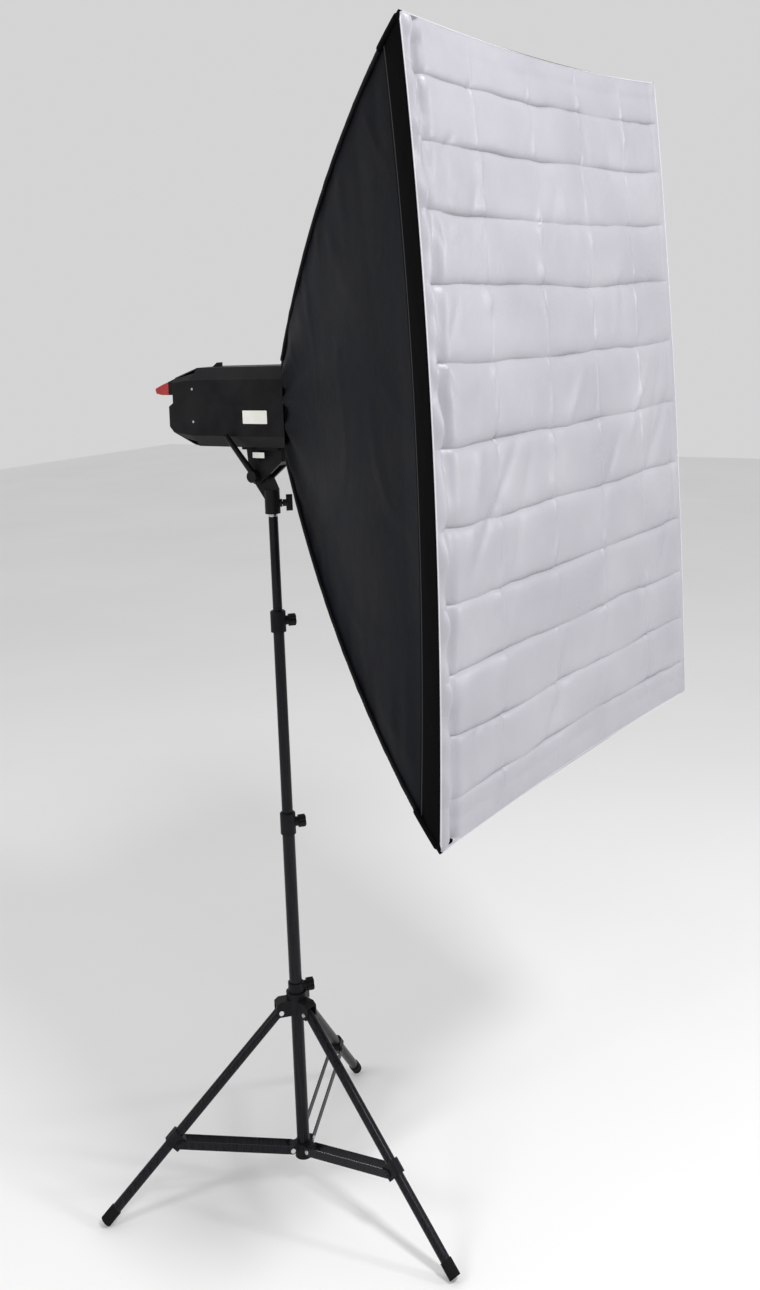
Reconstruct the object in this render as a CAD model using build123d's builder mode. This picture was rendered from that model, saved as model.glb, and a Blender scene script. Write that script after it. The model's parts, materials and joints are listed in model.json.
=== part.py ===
"""Rectangular studio softbox on a monolight flash head, carried by a folding three-leg light stand.

The frame is in millimetres: +Z is up, the origin is on the floor under the stand's column,
and the softbox faces -Y. Each finished piece is written to parts/ as its own STEP file.
"""

from build123d import *

import os
from math import atan2, cos, degrees, hypot, radians, sin, tan

# Light stand -----------------------------------------------------------------------------
LEG_AZIMUTHS = (140.8, 260.8, 20.8)
LEG_ANGLE = 46.3  # from the vertical, with the stand open
LEG_OD = 19.0
TUBE_WALL = 1.2
RUNNING_GAP = 0.3
RIVET_R = 2.5
CROWN_PIVOT = (34.0, 351.0)  # radius and height of the leg pivots
FOOT_CAP_R = 11.2
FOOT_ROUNDING = 1.0
FOOT_RISE = FOOT_CAP_R * sin(radians(LEG_ANGLE)) - FOOT_ROUNDING * (
    sin(radians(LEG_ANGLE)) + cos(radians(LEG_ANGLE)) - 1
)
LEG_LENGTH = (CROWN_PIVOT[1] - FOOT_RISE) / cos(radians(LEG_ANGLE))
CLIP_ALONG_LEG = 304.0
CLIP_EYE_OFFSET = 12.5
HUB_PIVOT = (24.0, 78.0)
BAR_HEIGHT = 15.0
BAR_THICKNESS = 1.8
BAR_GAP = 23.0
LUG_WIDTH = 22.0

BASE_OD = 25.0
BASE_BOTTOM = 62.0
BASE_TOP = 726.0
RISER_1_OD = 22.0
RISER_1_BOTTOM = 470.0
RISER_1_TOP = 1128.0
RISER_2_OD = 19.0
RISER_2_BOTTOM = 800.0
RISER_2_TOP = 1330.0
COLLAR_OD = 31.0
COLLAR_HEIGHT = 42.0
COLLAR_LIP = 12.0
KNOB_AZIMUTH = 320.8
KNOB_SCREW_R = 3.0
KNOB_R = 12.0
KNOB_LENGTH = 14.0

CROWN_EAR_HALF = 13.2
CROWN_TOP = 384.0
CROWN_NECK_TOP = 402.0
CROWN_KNOB_Z = 393.0
LOWER_COLLAR_Z = 698.0
UPPER_COLLAR_Z = 1100.0

# Tilt bracket ----------------------------------------------------------------------------
SOCKET_BOTTOM = 1336.0
SOCKET_TOP = 1384.0
SOCKET_R = 15.5
SPIGOT_R = 7.94
SPIGOT_BORE_R = 8.03
WING_AZIMUTH = 310.0
WING_Z = 1356.0
TILT_AXIS = (24.0, 1412.0)  # y and z
LUG_HALF = 11.0
CHEEK_INNER = 11.9
CHEEK_OUTER = 17.9
UMBRELLA_Z = 1452.0
UMBRELLA_R = 4.1

# Flash head ------------------------------------------------------------------------------
AXIS_Z = 1552.0
HEAD_HALF_WIDTH = 65.0
HEAD_HALF_HEIGHT = 80.0
HEAD_FLAT_HALF = 40.0
HEAD_SIDE_HALF = 56.0
HEAD_WALL = 2.5
HEAD_FRONT_Y = -100.0
HEAD_REAR_Y = 150.0
UPPER_PANEL_Y = 205.0
LOWER_PANEL_Y = 218.0
DIAL_X = 30.0
PANEL_HEIGHT = -18.0
SWITCH_HEIGHT = -9.0
BUTTON_HEIGHT = -28.0
SYNC_PLACE = (-18.0, 15.5)
INLET_SIZE = (33.6, 26.0)
MOUNT_RING_Y = -114.0
MOUNT_RING_R = 74.0

# Softbox ---------------------------------------------------------------------------------
FACE_HALF_WIDTH = 450.0
FACE_HALF_HEIGHT = 600.0
FACE_Y = -655.0
SHELL_REAR_Y = -108.0
SHELL_REAR_HALF = 84.0
SHELL_BOW = (100.0, 118.0)  # how far the rods' bow swells the half width and the half height
SHELL_STATIONS = (0.0, 0.25, 0.5, 0.75, 1.0)  # shares of the way from the rear edge to the front
FABRIC = 1.0
ROD_R = 2.2
ROD_START = (60.0, -127.0, 60.0)
ROD_MIDDLE = (274.0, -381.5, 355.0)
ROD_END = (437.0, -640.0, 584.0)
BAFFLE_STATION = 0.5
BAFFLE_MARGIN = 38.0

os.makedirs("parts", exist_ok=True)


def keep(name, builder):
    """Labels a finished piece and writes it to its own file."""
    builder.part.label = name
    export_step(builder.part, f"parts/{name}.step")


def radial_plane(azimuth):
    """A plane through the Z axis whose local x runs outwards and whose local y runs up."""
    a = radians(azimuth)
    return Plane(origin=(0, 0, 0), x_dir=(cos(a), sin(a), 0), z_dir=(sin(a), -cos(a), 0))


def outward_plane(azimuth, radius, height):
    """A plane that faces outwards from the Z axis, for sketches that extrude away from it."""
    a = radians(azimuth)
    return Plane(
        origin=(radius * cos(a), radius * sin(a), height), x_dir=(0, 0, 1), z_dir=(cos(a), sin(a), 0)
    )


def cross_plane(y):
    """An upright plane across the flash head, centred on the optical axis and facing forwards."""
    return Plane(origin=(0, y, AXIS_Z), x_dir=(1, 0, 0), z_dir=(0, -1, 0))


def side_plane(x):
    """A plane seen from the side: local x is the row's Y, local y is height above the axis."""
    return Plane(origin=(x, 0, AXIS_Z), x_dir=(0, 1, 0), z_dir=(1, 0, 0))


def tube(outer_r, inner_r, bottom, top):
    """An upright tube on the stand's axis."""
    with BuildPart() as made:
        with BuildSketch(Plane.XY.offset(bottom)):
            Circle(outer_r)
            Circle(inner_r, mode=Mode.SUBTRACT)
        extrude(amount=top - bottom)
    return made


def screw_hole(azimuth, height):
    """The outline of a clamp screw's radial hole, on the Z axis and facing outwards."""
    with BuildSketch(outward_plane(azimuth, 0, height)) as hole:
        Circle(KNOB_SCREW_R + RUNNING_GAP)
    return hole.sketch


# Stand: column, hub and crown ------------------------------------------------------------
def base_tube():
    made = tube(BASE_OD / 2, BASE_OD / 2 - TUBE_WALL, BASE_BOTTOM, BASE_TOP)
    with made:
        extrude(
            screw_hole(KNOB_AZIMUTH, LOWER_COLLAR_Z + COLLAR_HEIGHT / 2),
            amount=BASE_OD,
            mode=Mode.SUBTRACT,
        )
    keep("base_tube", made)


def hub():
    """The lower hub: a cup round the column's foot with three lugs that the braces straddle."""
    bottom, height, cup_r, lug_r = 58.0, 28.0, 17.0, 7.0
    with BuildPart() as made:
        with BuildSketch(Plane.XY.offset(bottom)):
            Circle(cup_r)
        extrude(amount=height)
        for azimuth in LEG_AZIMUTHS:
            with BuildSketch(radial_plane(azimuth)):
                with Locations(HUB_PIVOT):
                    Circle(lug_r)
                with Locations((HUB_PIVOT[0] / 2, HUB_PIVOT[1])):
                    Rectangle(HUB_PIVOT[0], 2 * lug_r)
            extrude(amount=LUG_WIDTH / 2, both=True)
        with BuildSketch(Plane.XY.offset(BASE_BOTTOM)):
            Circle(BASE_OD / 2)
        extrude(amount=height, mode=Mode.SUBTRACT)
        for azimuth in LEG_AZIMUTHS:
            with BuildSketch(radial_plane(azimuth)):
                with Locations(HUB_PIVOT):
                    Circle(RIVET_R)
            extrude(amount=LUG_WIDTH, both=True, mode=Mode.SUBTRACT)
    keep("hub", made)


def rivets(name, pivot, half_length):
    """Three rivets with domed heads, one at each leg's pivot."""
    head_r, head_height = 4.2, 1.6
    with BuildPart() as made:
        for azimuth in LEG_AZIMUTHS:
            plane = radial_plane(azimuth)
            with BuildSketch(plane):
                with Locations(pivot):
                    Circle(RIVET_R)
            extrude(amount=half_length, both=True)
            for side in (1, -1):
                with BuildSketch(plane.offset(side * half_length)):
                    with Locations(pivot):
                        Circle(head_r)
                extrude(amount=side * head_height, taper=20 * side)
    keep(name, made)


def crown():
    """The sliding crown: three clevises for the legs and a neck with the clamp screw's boss."""
    body_r, bottom, arm_top, arm_reach = 20.0, 342.0, 372.0, 9.0
    slot_half = 10.0
    slot_inner_r, slot_bottom, slot_top = 21.0, 320.0, CROWN_PIVOT[1] + 14
    boss_r, boss_reach = 8.5, 21.0
    with BuildPart() as made:
        with BuildSketch(Plane.XY.offset(bottom)):
            Circle(body_r)
        extrude(amount=CROWN_TOP - bottom)
        for azimuth in LEG_AZIMUTHS:
            with BuildSketch(radial_plane(azimuth)):
                with BuildLine():
                    Polyline(
                        (0, bottom),
                        (CROWN_PIVOT[0] + arm_reach - 3, bottom),
                        (CROWN_PIVOT[0] + arm_reach, bottom + 4),
                        (CROWN_PIVOT[0] + arm_reach, arm_top - 6),
                        (CROWN_PIVOT[0] + arm_reach - 8, arm_top),
                        (0, arm_top),
                        close=True,
                    )
                make_face()
            extrude(amount=CROWN_EAR_HALF, both=True)
        with BuildSketch(Plane.XY.offset(CROWN_TOP)):
            Circle(COLLAR_OD / 2)
        extrude(amount=CROWN_NECK_TOP - CROWN_TOP)
        with BuildSketch(outward_plane(KNOB_AZIMUTH, 0, CROWN_KNOB_Z)):
            Circle(boss_r)
        extrude(amount=boss_reach)
        for azimuth in LEG_AZIMUTHS:
            with BuildSketch(radial_plane(azimuth)):
                with Locations((slot_inner_r, slot_bottom)):
                    Rectangle(50, slot_top - slot_bottom, align=(Align.MIN, Align.MIN))
            extrude(amount=slot_half, both=True, mode=Mode.SUBTRACT)
            with BuildSketch(radial_plane(azimuth)):
                with Locations(CROWN_PIVOT):
                    Circle(RIVET_R)
            extrude(amount=2 * CROWN_EAR_HALF, both=True, mode=Mode.SUBTRACT)
        with BuildSketch(Plane.XY.offset(bottom - 1)):
            Circle(BASE_OD / 2 + RUNNING_GAP)
        extrude(amount=CROWN_NECK_TOP - bottom + 2, mode=Mode.SUBTRACT)
        extrude(screw_hole(KNOB_AZIMUTH, CROWN_KNOB_Z), amount=boss_reach + 2, mode=Mode.SUBTRACT)
    keep("crown", made)


def clamp_collar(name, bottom, tube_od, riser_od):
    """A collar fixed round the top of one tube, which guides and clamps the next one inside it."""
    boss_r, boss_reach = 9.0, 20.5
    with BuildPart() as made:
        with BuildSketch(Plane.XY.offset(bottom)):
            Circle(COLLAR_OD / 2)
        extrude(amount=COLLAR_HEIGHT)
        chamfer(made.edges().filter_by(GeomType.CIRCLE).group_by(Axis.Z)[-1], 2)
        with BuildSketch(outward_plane(KNOB_AZIMUTH, 0, bottom + COLLAR_HEIGHT / 2)):
            Circle(boss_r)
        extrude(amount=boss_reach)
        with BuildSketch(Plane.XY.offset(bottom - 1)):
            Circle(tube_od / 2)
        extrude(amount=COLLAR_HEIGHT - COLLAR_LIP + 1, mode=Mode.SUBTRACT)
        with BuildSketch(Plane.XY.offset(bottom)):
            Circle(riser_od / 2 + RUNNING_GAP)
        extrude(amount=COLLAR_HEIGHT + 1, mode=Mode.SUBTRACT)
        hole = screw_hole(KNOB_AZIMUTH, bottom + COLLAR_HEIGHT / 2)
        extrude(hole, amount=boss_reach + 2, mode=Mode.SUBTRACT)
    keep(name, made)


def clamp_knob(name, height, tip_r, boss_reach):
    """A lobed plastic knob with its moulded-in clamp screw."""
    flute_r, flutes, start = 4.5, 5, boss_reach + 0.6
    face = outward_plane(KNOB_AZIMUTH, start, height)
    with BuildPart() as made:
        with BuildSketch(face):
            Circle(KNOB_R)
            with PolarLocations(KNOB_R + 2.2, flutes):
                Circle(flute_r, mode=Mode.SUBTRACT)
        extrude(amount=KNOB_LENGTH)
        with BuildSketch(outward_plane(KNOB_AZIMUTH, tip_r, height)):
            Circle(KNOB_SCREW_R)
        extrude(amount=start - tip_r)
    keep(name, made)


def riser(name, od, bottom, top, screw_z=None):
    made = tube(od / 2, od / 2 - TUBE_WALL, bottom, top)
    if screw_z is not None:
        with made:
            extrude(screw_hole(KNOB_AZIMUTH, screw_z), amount=od, mode=Mode.SUBTRACT)
    keep(name, made)


def riser_bush(name, od, bottom, guide_r):
    """A nylon plug in a riser's foot, whose flange runs in the tube outside it."""
    flange, plug = 4.0, 16.0
    with BuildPart() as made:
        with BuildSketch(Plane.XY.offset(bottom - flange)):
            Circle(guide_r)
        extrude(amount=flange)
        with BuildSketch(Plane.XY.offset(bottom)):
            Circle(od / 2 - TUBE_WALL)
        extrude(amount=plug)
        with BuildSketch(Plane.XY.offset(bottom - flange)):
            Circle(od / 2 - TUBE_WALL - 2.4)
        extrude(amount=flange + plug, mode=Mode.SUBTRACT)
    keep(name, made)


def spigot():
    """The steel spigot on top of the stand, with a waist for the socket's wing screw."""
    waist_half, waist_r, top = 6.0, 6.3, SOCKET_BOTTOM + 42
    with BuildPart() as made:
        with BuildSketch(Plane.XZ):
            with BuildLine():
                Polyline(
                    (0, RISER_2_TOP - 20),
                    (RISER_2_OD / 2 - TUBE_WALL, RISER_2_TOP - 20),
                    (RISER_2_OD / 2 - TUBE_WALL, RISER_2_TOP),
                    (RISER_2_OD / 2, RISER_2_TOP),
                    (RISER_2_OD / 2, SOCKET_BOTTOM - 1),
                    (SPIGOT_R, SOCKET_BOTTOM - 1),
                    (SPIGOT_R, WING_Z - waist_half - 1),
                    (waist_r, WING_Z - waist_half),
                    (waist_r, WING_Z + waist_half),
                    (SPIGOT_R, WING_Z + waist_half + 1),
                    (SPIGOT_R, top - 1),
                    (SPIGOT_R - 1, top),
                    (0, top),
                    close=True,
                )
            make_face()
        revolve(axis=Axis.Z)
    keep("spigot", made)


# Stand: legs and braces ------------------------------------------------------------------
def leg_direction():
    a = radians(LEG_ANGLE)
    return sin(a), -cos(a)


def on_leg(along, inwards):
    """A point of the leg's own plane, along it from the crown pivot and towards the column."""
    ur, uz = leg_direction()
    return CROWN_PIVOT[0] + along * ur + inwards * uz, CROWN_PIVOT[1] + along * uz - inwards * ur


def leg_section(azimuth, along):
    """A plane across a leg, facing its foot, with local x towards the column."""
    plane = radial_plane(azimuth)
    origin = plane.from_local_coords(Vector(*on_leg(along, 0), 0))
    down = plane.from_local_coords(Vector(*on_leg(along + 1, 0), 0)) - origin
    inward = plane.from_local_coords(Vector(*on_leg(along, 1), 0)) - origin
    return Plane(origin=origin, x_dir=inward, z_dir=down)


def leg(number, azimuth):
    head_length, cap_cover, cap_wall = 8.0, 30.0, FOOT_CAP_R - LEG_OD / 2
    clip_half, clip_back = 13.0, 3.0

    with BuildPart() as leg_tube:
        with BuildSketch(leg_section(azimuth, -head_length)):
            Circle(LEG_OD / 2)
            Circle(LEG_OD / 2 - TUBE_WALL, mode=Mode.SUBTRACT)
        extrude(amount=LEG_LENGTH + head_length - cap_wall)
        with BuildSketch(radial_plane(azimuth)):
            with Locations(CROWN_PIVOT):
                Circle(RIVET_R + 0.08)
        extrude(amount=LEG_OD, both=True, mode=Mode.SUBTRACT)
    keep(f"leg_tube_{number}", leg_tube)

    with BuildPart() as cap:
        with BuildSketch(leg_section(azimuth, LEG_LENGTH - cap_cover)):
            Circle(FOOT_CAP_R)
        extrude(amount=cap_cover)
        fillet(cap.faces().sort_by(Axis.Z)[0].edges(), FOOT_ROUNDING)
        with BuildSketch(leg_section(azimuth, LEG_LENGTH - cap_cover)):
            Circle(LEG_OD / 2)
        extrude(amount=cap_cover - cap_wall, mode=Mode.SUBTRACT)
    keep(f"foot_cap_{number}", cap)

    with BuildPart() as clip:
        with BuildSketch(leg_section(azimuth, CLIP_ALONG_LEG - clip_half)):
            with BuildLine():
                Polyline(
                    (CLIP_EYE_OFFSET + 5.5, -LUG_WIDTH / 2),
                    (CLIP_EYE_OFFSET + 5.5, LUG_WIDTH / 2),
                    (-LEG_OD / 2 + 1, LUG_WIDTH / 2),
                    (-LEG_OD / 2 - clip_back, LUG_WIDTH / 2 - 5),
                    (-LEG_OD / 2 - clip_back, 5 - LUG_WIDTH / 2),
                    (-LEG_OD / 2 + 1, -LUG_WIDTH / 2),
                    close=True,
                )
            make_face()
        extrude(amount=2 * clip_half)
        with BuildSketch(leg_section(azimuth, CLIP_ALONG_LEG - clip_half)):
            Circle(LEG_OD / 2)
        extrude(amount=2 * clip_half, mode=Mode.SUBTRACT)
        with BuildSketch(radial_plane(azimuth)):
            with Locations(on_leg(CLIP_ALONG_LEG, CLIP_EYE_OFFSET)):
                Circle(RIVET_R)
        extrude(amount=LUG_WIDTH, both=True, mode=Mode.SUBTRACT)
    keep(f"leg_clip_{number}", clip)


def brace(number, azimuth):
    """Two flat bars that straddle the hub's lug and the leg, with the outer rivet's heads."""
    plane = radial_plane(azimuth)
    eye = on_leg(CLIP_ALONG_LEG, CLIP_EYE_OFFSET)
    middle = ((HUB_PIVOT[0] + eye[0]) / 2, (HUB_PIVOT[1] + eye[1]) / 2)
    span = hypot(eye[0] - HUB_PIVOT[0], eye[1] - HUB_PIVOT[1])
    rise = degrees(atan2(eye[1] - HUB_PIVOT[1], eye[0] - HUB_PIVOT[0]))
    inner = BAR_GAP / 2
    with BuildPart() as made:
        for side in (1, -1):
            with BuildSketch(plane.offset(side * inner)):
                with Locations(Location((*middle, 0), (0, 0, rise))):
                    SlotCenterToCenter(span, BAR_HEIGHT)
                with Locations(HUB_PIVOT):
                    Circle(RIVET_R + 0.08, mode=Mode.SUBTRACT)
            extrude(amount=side * BAR_THICKNESS)
            with BuildSketch(plane.offset(side * (inner + BAR_THICKNESS))):
                with Locations(eye):
                    Circle(4.2)
            extrude(amount=side * 1.6, taper=20 * side)
    keep(f"brace_{number}", made)


# Tilt bracket ----------------------------------------------------------------------------
def stand_socket():
    """The socket that drops over the spigot, with the lug that the head tilts on."""
    lug_r, block_bottom = 18.0, 1366.0
    with BuildPart() as made:
        with BuildSketch(Plane.XY.offset(SOCKET_BOTTOM)):
            Circle(SOCKET_R)
        extrude(amount=SOCKET_TOP - SOCKET_BOTTOM)
        with BuildSketch(Plane.YZ):
            with Locations(TILT_AXIS):
                Circle(lug_r)
            with Locations((0, (block_bottom + SOCKET_TOP) / 2)):
                Rectangle(22, SOCKET_TOP - block_bottom)
            make_hull()
        extrude(amount=LUG_HALF, both=True)
        with BuildSketch(outward_plane(WING_AZIMUTH, 0, WING_Z)):
            Circle(8)
        extrude(amount=19.5)
        with BuildSketch(Plane.XY.offset(SOCKET_BOTTOM - 1)):
            Circle(SPIGOT_BORE_R)
        extrude(amount=46, mode=Mode.SUBTRACT)
        extrude(screw_hole(WING_AZIMUTH, WING_Z), amount=22, mode=Mode.SUBTRACT)
        with BuildSketch(Plane.YZ):
            with Locations(TILT_AXIS):
                Circle(4.1)
        extrude(amount=2 * LUG_HALF, both=True, mode=Mode.SUBTRACT)
    keep("stand_socket", made)


def wing_screw():
    """The screw that locks the socket on the spigot, with a flat two-winged head."""
    start = 20.2
    with BuildPart() as made:
        with BuildSketch(outward_plane(WING_AZIMUTH, 7.2, WING_Z)):
            Circle(KNOB_SCREW_R)
        extrude(amount=start - 7.2)
        with BuildSketch(outward_plane(WING_AZIMUTH, start, WING_Z)):
            Circle(7)
        extrude(amount=10)
        with BuildSketch(outward_plane(WING_AZIMUTH, start + 7, WING_Z)):
            with Locations((0, 0)):
                SlotCenterToCenter(24, 9)
        extrude(amount=13)
    keep("wing_screw", made)


def tilt_bolt():
    """The bolt that the head tilts on, with its friction washers beside the socket's lug."""
    with BuildPart() as made:
        with BuildSketch(Plane.YZ.offset(-CHEEK_OUTER - 12)):
            with Locations(TILT_AXIS):
                Circle(4.0)
        extrude(amount=2 * CHEEK_OUTER + 12.5)
        with BuildSketch(Plane.YZ.offset(CHEEK_OUTER + 0.5)):
            with Locations(TILT_AXIS):
                RegularPolygon(8, 6)
        extrude(amount=6)
        for side in (1, -1):
            with BuildSketch(Plane.YZ.offset(side * CHEEK_INNER)):
                with Locations(TILT_AXIS):
                    Circle(15)
            extrude(amount=-side * (CHEEK_INNER - LUG_HALF - 0.2))
    keep("tilt_bolt", made)


def tilt_lever():
    """The long clamp lever, cranked outwards so that it clears the head's lower edge."""
    hub_r, hub_start, hub_length = 12.0, -CHEEK_OUTER - 0.6, 15.0
    tip = (-79.0, TILT_AXIS[0] + 22, TILT_AXIS[1] + 88)
    elbow = (-28.0, TILT_AXIS[0] + 3, TILT_AXIS[1] + 10)
    with BuildPart() as made:
        with BuildSketch(Plane.YZ.offset(hub_start)):
            with Locations(TILT_AXIS):
                Circle(hub_r)
        extrude(amount=-hub_length)
        arm = Plane(origin=elbow, z_dir=Vector(*tip) - Vector(*elbow))
        with BuildSketch(arm):
            Circle(6.5)
        with BuildSketch(Plane(origin=tip, z_dir=Vector(*tip) - Vector(*elbow))):
            Circle(5)
        loft()
        with BuildSketch(Plane.YZ.offset(hub_start)):
            with Locations(TILT_AXIS):
                Circle(4.08)
        extrude(amount=-12, mode=Mode.SUBTRACT)
    keep("tilt_lever", made)


def head_bracket():
    """The yoke under the head: two cheeks on the tilt axis and a boss for an umbrella's shaft."""
    top, plate, cheek_r = AXIS_Z - HEAD_HALF_HEIGHT, 6.0, 17.0
    front, rear, low_front = -44.0, 46.0, TILT_AXIS[1] + 30
    with BuildPart() as made:
        with BuildSketch(Plane.YZ.offset(-CHEEK_OUTER)):
            with Locations(TILT_AXIS):
                Circle(cheek_r)
            with Locations(((front + rear) / 2, top - 2)):
                Rectangle(rear - front, 4)
            with Locations((front + 10, (top + low_front) / 2)):
                Rectangle(20, top - low_front)
            make_hull()
        extrude(amount=2 * CHEEK_OUTER)
        with BuildSketch(Plane.YZ):
            with Locations(TILT_AXIS):
                Circle(22)
            with Locations((TILT_AXIS[0] - 45, TILT_AXIS[1] - 8)):
                Rectangle(90, 60)
            with Locations((TILT_AXIS[0] + 20, TILT_AXIS[1] - 18)):
                Rectangle(40, 40)
        extrude(amount=CHEEK_INNER, both=True, mode=Mode.SUBTRACT)
        with BuildSketch(Plane.XY.offset(top - plate)):
            with Locations((0, (front + rear) / 2)):
                RectangleRounded(62, rear - front + 8, 6)
        extrude(amount=plate)
        with BuildSketch(Plane.YZ):
            with Locations(TILT_AXIS):
                Circle(4.0)
        extrude(amount=2 * CHEEK_OUTER, both=True, mode=Mode.SUBTRACT)
        with BuildSketch(Plane.XZ.offset(60)):
            with Locations((0, UMBRELLA_Z)):
                Circle(UMBRELLA_R)
        extrude(amount=-120, mode=Mode.SUBTRACT)
    keep("head_bracket", made)


# Flash head ------------------------------------------------------------------------------
def octagon(y, shrink=0.0, scale_by=1.0):
    """The head's eight-sided section at y."""
    wide, tall = (HEAD_HALF_WIDTH - shrink) * scale_by, (HEAD_HALF_HEIGHT - shrink) * scale_by
    corner = shrink * tan(radians(22))
    flat, side = (HEAD_FLAT_HALF - corner) * scale_by, (HEAD_SIDE_HALF - corner) * scale_by
    with BuildSketch(cross_plane(y)) as section:
        with BuildLine():
            Polyline(
                (-flat, -tall),
                (flat, -tall),
                (wide, -side),
                (wide, side),
                (flat, tall),
                (-flat, tall),
                (-wide, side),
                (-wide, -side),
                close=True,
            )
        make_face()
    return section.sketch


def housing():
    slot_y, slot_length, slot_width = 128.0, 28.0, 7.0
    with BuildPart() as made:
        extrude(octagon(HEAD_REAR_Y), amount=HEAD_REAR_Y - HEAD_FRONT_Y)
        chamfer(made.faces().sort_by(Axis.Y)[0].edges(), 1.2)
        hollow = octagon(HEAD_REAR_Y, HEAD_WALL)
        extrude(hollow, amount=HEAD_REAR_Y - HEAD_FRONT_Y, mode=Mode.SUBTRACT)
        with BuildSketch(Plane.XY.offset(AXIS_Z)):
            with Locations((0, slot_y)):
                Rectangle(slot_width, slot_length)
        extrude(amount=HEAD_HALF_HEIGHT + 1, mode=Mode.SUBTRACT)
    keep("housing", made)


def rear_profile(inset=0.0):
    """Side outline of the rear cover, as (y, height above the axis)."""
    return (
        (HEAD_REAR_Y, 80 - inset),
        (UPPER_PANEL_Y - inset, 61 - inset),
        (UPPER_PANEL_Y - inset, 9 - inset),
        (LOWER_PANEL_Y - inset, 2 - inset),
        (LOWER_PANEL_Y - inset, -39 + inset),
        (204 - inset, -52 + inset),
        (166, -77 + inset),
        (HEAD_REAR_Y, -80 + inset),
    )


def rear_cover():
    """The plastic rear cover, with windows for the controls, the jack and the inlet."""
    wall = 3.0
    with BuildPart() as made:
        with BuildSketch(side_plane(0)):
            with BuildLine():
                Polyline(*rear_profile(), close=True)
            make_face()
        extrude(amount=HEAD_HALF_WIDTH, both=True)
        loft([octagon(HEAD_REAR_Y), octagon(LOWER_PANEL_Y + 10, scale_by=0.86)], mode=Mode.INTERSECT)
        with BuildSketch(side_plane(0)):
            with BuildLine():
                Polyline(*rear_profile(wall), close=True)
            make_face()
        extrude(amount=HEAD_HALF_WIDTH - 14, both=True, mode=Mode.SUBTRACT)
        with BuildSketch(cross_plane(LOWER_PANEL_Y + 5)):
            with Locations((-DIAL_X, PANEL_HEIGHT), (DIAL_X, PANEL_HEIGHT)):
                Circle(3.2)
            with Locations((0, SWITCH_HEIGHT)):
                Rectangle(16.4, 14.2)
            with Locations((0, BUTTON_HEIGHT)):
                Circle(5.2)
        extrude(amount=12, mode=Mode.SUBTRACT)
        with BuildSketch(cross_plane(UPPER_PANEL_Y + 5)):
            with Locations(SYNC_PLACE):
                Circle(5.2)
        extrude(amount=12, mode=Mode.SUBTRACT)
        with BuildSketch(inlet_plane(5)):
            Rectangle(INLET_SIZE[0] + 0.4, INLET_SIZE[1] + 0.4)
        extrude(amount=-12, mode=Mode.SUBTRACT)
    keep("rear_cover", made)


def handle_arms():
    """The two arms that carry the handle's cross bar."""
    arm_inner, arm_outer = 36.0, 46.0
    with BuildPart() as made:
        for side in (1, -1):
            with BuildSketch(side_plane(side * arm_inner)):
                with BuildLine():
                    Polyline((UPPER_PANEL_Y, 60), (228, 52), (228, 25), (UPPER_PANEL_Y, 25), close=True)
                make_face()
            extrude(amount=side * (arm_outer - arm_inner))
    keep("handle_arms", made)


def inlet_plane(offset):
    """The sloping lower face of the rear cover, facing outwards, with local x across the head."""
    (_, _, _, _, _, (y1, z1), (y2, z2), _) = rear_profile()
    slope = hypot(y1 - y2, z1 - z2)
    normal = (0, (z1 - z2) / slope, (y2 - y1) / slope)
    face = Plane(origin=(0, (y1 + y2) / 2, AXIS_Z + (z1 + z2) / 2), x_dir=(1, 0, 0), z_dir=normal)
    return face.offset(offset)


def slave_cover():
    """The red window of the optical slave, which is also the handle's cross bar."""
    with BuildPart() as made:
        with BuildSketch(side_plane(0)):
            with BuildLine():
                Polyline((228, 52), (246, 46), (266, 38), (263, 28), (246, 25), (228, 25), close=True)
            make_face()
        extrude(amount=46, both=True)
        fillet(made.edges().filter_by(Axis.X).group_by(Axis.Y)[-1], 3)
    keep("slave_cover", made)


def dial(name, x):
    """A control dial with a grip flange and its spindle."""
    back = LOWER_PANEL_Y + 0.6
    with BuildPart() as made:
        with BuildSketch(cross_plane(back + 9)):
            with Locations((x, PANEL_HEIGHT)):
                Circle(11.5)
                with PolarLocations(12.6, 14):
                    Circle(1.8, mode=Mode.SUBTRACT)
        extrude(amount=9)
        with BuildSketch(cross_plane(back)):
            with Locations((x, PANEL_HEIGHT)):
                Circle(2.9)
        extrude(amount=12)
    keep(name, made)


def power_switch():
    """The rocker, pivoted on the middle of its window."""
    low, middle, high = SWITCH_HEIGHT - 6.5, SWITCH_HEIGHT, SWITCH_HEIGHT + 6.5
    with BuildPart() as made:
        with BuildSketch(side_plane(0)):
            with BuildLine():
                Polyline((213, low), (219, low), (217, middle), (221, high), (213, high), close=True)
            make_face()
        extrude(amount=7.8, both=True)
    keep("power_switch", made)


def test_button():
    with BuildPart() as made:
        with BuildSketch(cross_plane(LOWER_PANEL_Y + 4)):
            with Locations((0, BUTTON_HEIGHT)):
                Circle(4.9)
        extrude(amount=11)
        fillet(made.faces().sort_by(Axis.Y)[-1].edges(), 1)
    keep("test_button", made)


def mains_inlet():
    """The three-pin mains inlet in the sloping face."""
    wall, pin_depth = 3.5, 8.0
    with BuildPart() as made:
        with BuildSketch(inlet_plane(0)):
            Rectangle(*INLET_SIZE)
        extrude(amount=-24)
        with BuildSketch(inlet_plane(1)):
            Rectangle(INLET_SIZE[0] - 2 * wall, INLET_SIZE[1] - 2 * wall)
        extrude(amount=-20, mode=Mode.SUBTRACT)
        with BuildSketch(inlet_plane(-pin_depth)):
            with Locations((-7, -2.5), (0, 2.5), (7, -2.5)):
                Rectangle(2, 6)
        extrude(amount=-12)
    keep("mains_inlet", made)


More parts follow.
